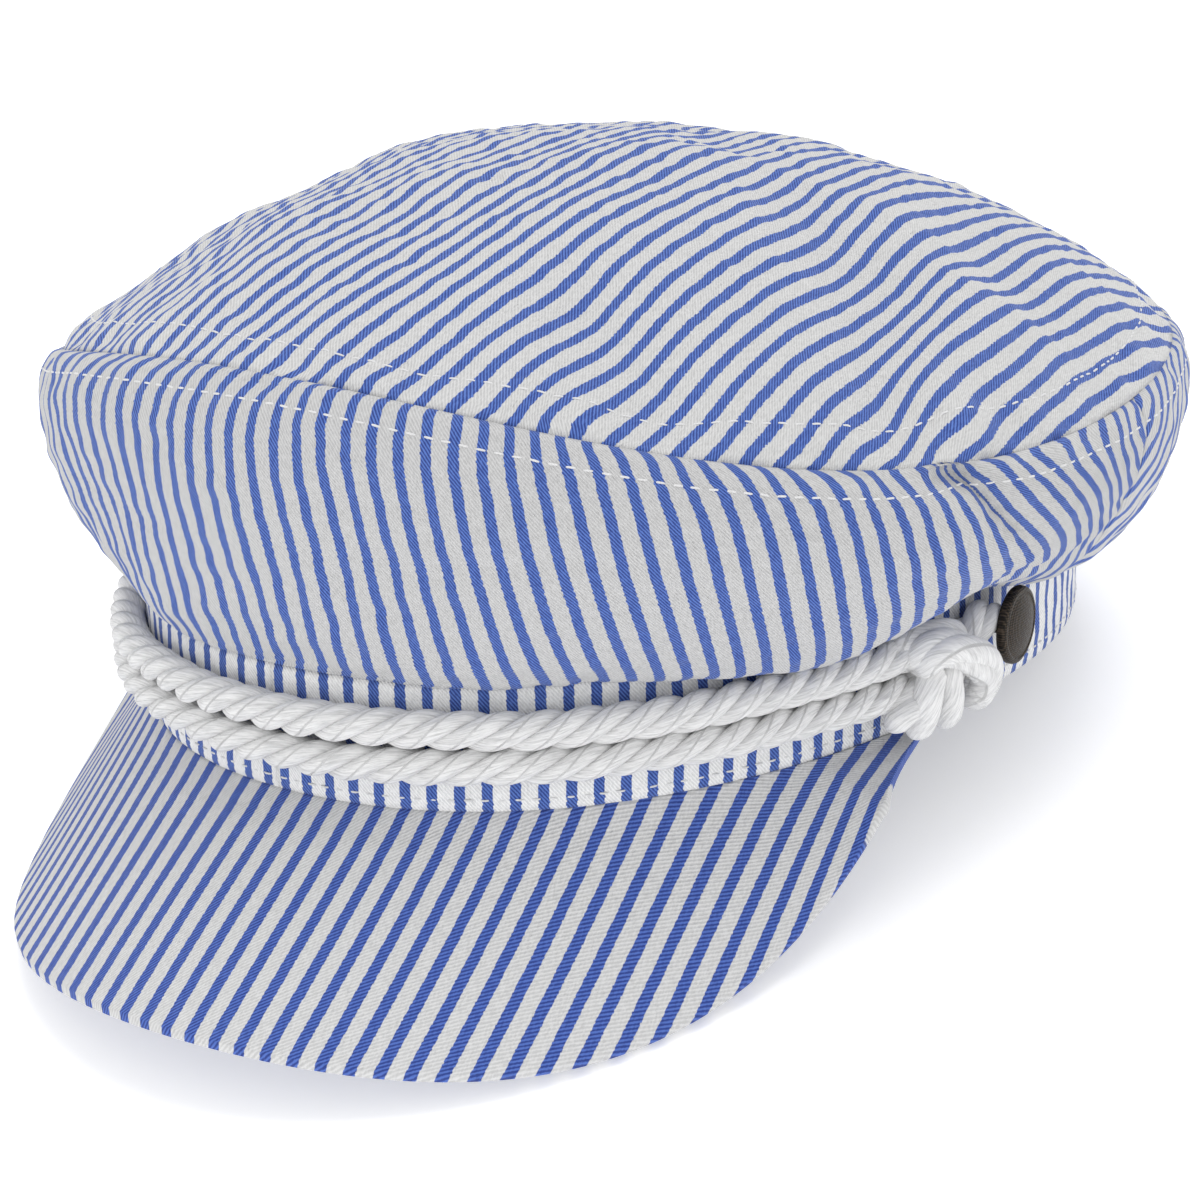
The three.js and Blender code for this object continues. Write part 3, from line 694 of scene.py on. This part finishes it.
def knot(side_):
    tag = "left" if side_ > 0 else "right"
    V, F, U, base = [], [], [], 0
    s0 = arc(math.radians(KNOT_AT))
    for run in KNOT:
        uvw = catmull(run["row"], 16 * len(run["row"]))
        th = arc_inv(s0 + uvw[:, 0])
        p = band(th, uvw[:, 1], uvw[:, 2])
        o = band(th, uvw[:, 1], uvw[:, 2] + 5) - p
        v, f, u = strands("k", p, o, run["r"], run["pitch"], start=run["start"], count=run["n"], around=24, yarn=0.05, taper=(3.0, 3.0), lay=run["lay"])
        V.append(v); F.append(f + base); U.append(u); base += len(v)
    V, F, U = np.concatenate(V), np.concatenate(F), np.concatenate(U)
    if side_ < 0:
        V = V * np.array([-1, 1, 1]); F = F[:, ::-1]
    ob = finish_piece(add_mesh("knot_" + tag + "_rope", V, F, U, mats=[M_ROPE]))
    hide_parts("knot_" + tag)
    return ob


BUTTON = dict(u=17.8, v=15.4, w=6.4, r=7.5, thick=2.2, dome=1.0, post=2.2, yaw=9.0)


def button(side_):
    tag = "left" if side_ > 0 else "right"
    B = BUTTON
    w = B["w"]
    prof = np.array([[0, 0.3], [B["post"], 0.3], [B["post"], w], [6.7, w], [7.25, w + 0.2], [7.5, w + 0.7], [7.5, w + 1.4], [7.3, w + 1.9], [6.9, w + 2.15],
                     [6.5, w + 2.2], [6.25, w + 2.05], [6.0, w + 2.1], [4.9, w + 2.5], [3.2, w + 2.9], [1.6, w + 3.1], [0, w + 3.2]])
    dense = np.concatenate([prof[:1]] + [prof[i] + (prof[i + 1] - prof[i]) * np.linspace(0, 1, 4)[1:, None] for i in range(len(prof) - 1)])
    n = 72
    a = np.linspace(0, 2 * np.pi, n, endpoint=False)
    s0 = arc(math.radians(KNOT_AT)) + B["u"]
    th = np.array([arc_inv(s0)])
    c = band(th, B["v"], 0.0)[0]
    out = band(th, B["v"], 1.0)[0] - c
    up = np.array([0, 0, 1.0]); rt = np.cross(up, out)
    yw = math.radians(B["yaw"])
    out, rt = out * math.cos(yw) + rt * math.sin(yw), rt * math.cos(yw) - out * math.sin(yw)
    v = c + out * dense[:, 1][None, :, None] + (rt * np.cos(a)[:, None, None] + up * np.sin(a)[:, None, None]) * dense[:, 0][None, :, None]
    f = grid_faces(n, len(dense), True, flip=True)
    uv = np.stack([np.cos(a)[:, None] * dense[:, 0], np.sin(a)[:, None] * dense[:, 0]], -1)
    v = v.reshape(-1, 3)
    if side_ < 0:
        v = v * np.array([-1, 1, 1]); f = f[:, ::-1]
    ob = finish_piece(add_mesh("button_" + tag + "_face", v, f, uv, mats=[M_BUTTON]))
    bm_merge(ob)
    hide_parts("button_" + tag)
    return ob


def bm_merge(ob, dist=1e-6):
    import bmesh
    bm = bmesh.new(); bm.from_mesh(ob.data)
    bmesh.ops.remove_doubles(bm, verts=bm.verts, dist=dist)
    bm.to_mesh(ob.data); bm.free()


# ------------------------------------------------------------------ stitching
def stitches(name, pts, nrm, length=2.1, gap=0.9, r=0.2, sink=0.06):
    """Thread dashes along a surface line: pts (k, 3) closely spaced, nrm (k, 3)."""
    s = np.concatenate([[0], np.cumsum(np.linalg.norm(np.diff(pts, axis=0), axis=1))])
    starts = np.arange(0.5, s[-1] - length, length + gap)
    starts = starts + rng.uniform(-0.12, 0.12, len(starts))
    q = np.linspace(0, 1, 7)
    prof = np.array([0.35, 0.85, 1.0, 1.0, 1.0, 0.85, 0.35])
    rise = np.array([-0.9, 0.15, 0.6, 0.75, 0.6, 0.15, -0.9])
    V, F, base = [], [], 0
    K = 8
    for st in starts:
        x = st + q * length
        c = np.stack([np.interp(x, s, pts[:, i]) for i in range(3)], -1)
        n = np.stack([np.interp(x, s, nrm[:, i]) for i in range(3)], -1); n /= np.linalg.norm(n, axis=1, keepdims=True)
        t = np.gradient(c, axis=0); t /= np.linalg.norm(t, axis=1, keepdims=True)
        b = np.cross(t, n)
        yaw = rng.normal(0, 0.05)
        c = c + b * ((q - 0.5) * length * yaw)[:, None] + n * (rise * r - sink)[:, None]
        a = np.linspace(0, 2 * np.pi, K, endpoint=False)[None, :]
        rr = (prof * r)[:, None]
        ringv = c[:, None] + n[:, None] * (np.cos(a) * rr * 0.8)[..., None] + b[:, None] * (np.sin(a) * rr * 1.15)[..., None]
        V.append(ringv.reshape(-1, 3))
        i, j = np.meshgrid(np.arange(6), np.arange(K), indexing="ij")
        q0, q1 = i * K + j, i * K + (j + 1) % K
        F.append(np.stack([q0, q1, q1 + K, q0 + K], -1).reshape(-1, 4) + base)
        for first, flip in ((0, True), (6 * K, False)):
            kk = np.arange(K // 2 - 1)
            cap = np.stack([first + kk, first + kk + 1, first + (K - kk - 2) % K, first + (K - kk - 1) % K], -1)
            F.append((cap[:, ::-1] if flip else cap) + base)
        base += 7 * K
    ob = add_mesh(name, np.concatenate(V), np.concatenate(F), mats=[M_THREAD])
    return finish_piece(ob)


def along_grid(p, dist, x, wrap=False):
    """The line at value x of dist (falling or rising along the second index) on a finished grid, and its normals."""
    m = p.shape[1]
    j = np.abs(dist - x).argmin(axis=1)
    j = np.clip(j, 1, m - 2)
    i = np.arange(len(p))
    d0, d1 = dist[i, j], dist[i, j + 1]
    up = (x - d0) * (d1 - d0) >= 0
    k = np.where(up, j + 1, j - 1)
    f = ((x - d0) / (dist[i, k] - d0 + 1e-12))[:, None]
    line = p[i, j] * (1 - f) + p[i, k] * f
    if wrap:
        line = np.concatenate([line, line[:1]])
    across = p[i, j + 1] - p[i, j - 1]
    if wrap:
        across = np.concatenate([across, across[:1]])
    nrm = np.cross(np.gradient(line, axis=0), across)
    nrm /= np.linalg.norm(nrm, axis=1, keepdims=True)
    return line, nrm


def build():
    top_line = crown_top()
    front_line = crown_side("crown_side_front_cloth", -SIDE_SEAM, SIDE_SEAM, 520, 82, "crown_side_front", phase_side)
    back_line = crown_side("crown_side_back_cloth", SIDE_SEAM, 360 - SIDE_SEAM, 320, 62, "crown_side_back", phase_back)
    headband()
    visor()
    front_cord("cord_upper_rope", CORD_Z["upper"], "cord_upper", 0.4, 81.5, 3.55, 0.0)
    front_cord("cord_lower_rope", CORD_Z["lower"], "cord_lower", 1.5, 78.5, 3.4, 0.7)
    for sd in (1, -1):
        knot(sd); button(sd)
    th = np.radians(np.linspace(0, 360, 1400))
    # double topstitch: on the dome above the seam and on the side below it
    stitches("stitch_top", *top_line, r=0.17)
    stitches("stitch_side_front", *front_line, r=0.17)
    stitches("stitch_side_back", *back_line, r=0.17)
    z = np.full_like(th, 2.6)
    stitches("stitch_band", band(th, z, 0.0), band(th, z, 1.0) - band(th, z, 0.0), length=1.9, gap=1.1, r=0.18)


build()

# ------------------------------------------------------------------ camera, floor, lights
CAM = dict(al=36.0, ep=19.432, ro=-1.596, f=2913.5, D=600.0, X0=1.77, Y0=4.773)


def camera():
    al, ep, ro = (math.radians(CAM[k]) for k in ("al", "ep", "ro"))
    right = np.array([math.cos(al), math.sin(al), 0])
    back = np.array([math.sin(al) * math.cos(ep), -math.cos(al) * math.cos(ep), math.sin(ep)])
    up = np.cross(back, right)
    r2, u2 = math.cos(ro) * right + math.sin(ro) * up, -math.sin(ro) * right + math.cos(ro) * up
    R = np.array([r2, -u2, -back])
    C = -R.T @ np.array([CAM["X0"], CAM["Y0"], CAM["D"]])
    o = stand(np.zeros(3))
    ax = [(stand(a) - o) * 1000 for a in (r2, u2, back)]
    m = Matrix.Identity(4)
    for i in range(3):
        for j in range(3):
            m[j][i] = ax[i][j]
    loc = stand(C)
    for j in range(3):
        m[j][3] = loc[j]
    cd = bpy.data.cameras.new("camera")
    cd.sensor_width, cd.lens = 36.0, CAM["f"] * 36.0 / 1200
    cd.clip_start, cd.clip_end = 0.01, 50
    ob = bpy.data.objects.new("camera", cd)
    ob.matrix_world = m
    bpy.context.scene.collection.objects.link(ob)
    bpy.context.scene.camera = ob
    return ob


camera()
bpy.context.scene.view_settings.view_transform = "Standard"


def area(name, loc, aim, size, power, color=(1, 1, 1)):
    ld = bpy.data.lights.new(name, "AREA")
    ld.shape, ld.size, ld.energy, ld.color = "DISK", size, power, color
    ob = bpy.data.objects.new(name, ld)
    ob.location = loc
    from mathutils import Vector
    ob.rotation_mode = "QUATERNION"
    ob.rotation_quaternion = (Vector(aim) - Vector(loc)).to_track_quat("-Z", "Y")
    bpy.context.scene.collection.objects.link(ob)


area("key", (-0.5, -1.7, 0.45), (0, 0, 0.05), 0.9, 5.2)
area("fill", (1.6, -0.7, 0.6), (0, 0, 0.05), 1.2, 2.2)
area("top", (0.1, 0.5, 1.8), (0, 0, 0.05), 1.2, 14)

w = bpy.data.worlds.new("studio")
w.use_nodes = True
w.node_tree.nodes["Background"].inputs[0].default_value = (1, 1, 1, 1)
w.node_tree.nodes["Background"].inputs[1].default_value = 0.82
bpy.context.scene.world = w

fm, fnt, fb = nodes_of("floor_paper_glowing", base=(0.93, 0.93, 0.93, 1), rough=0.95, spec=0.1)
# painted light: the floor glows (emission 0.34), which lifts the shadows on it and lights the cap from below
fb.inputs["Emission Color"].default_value = (1, 1, 1, 1)
fb.inputs["Emission Strength"].default_value = 0.34
fl = add_mesh("floor", [[-6, -6, 0], [6, -6, 0], [6, 6, 0], [-6, 6, 0]], [[0, 1, 2, 3]], mats=[fm], world=True, smooth=False)
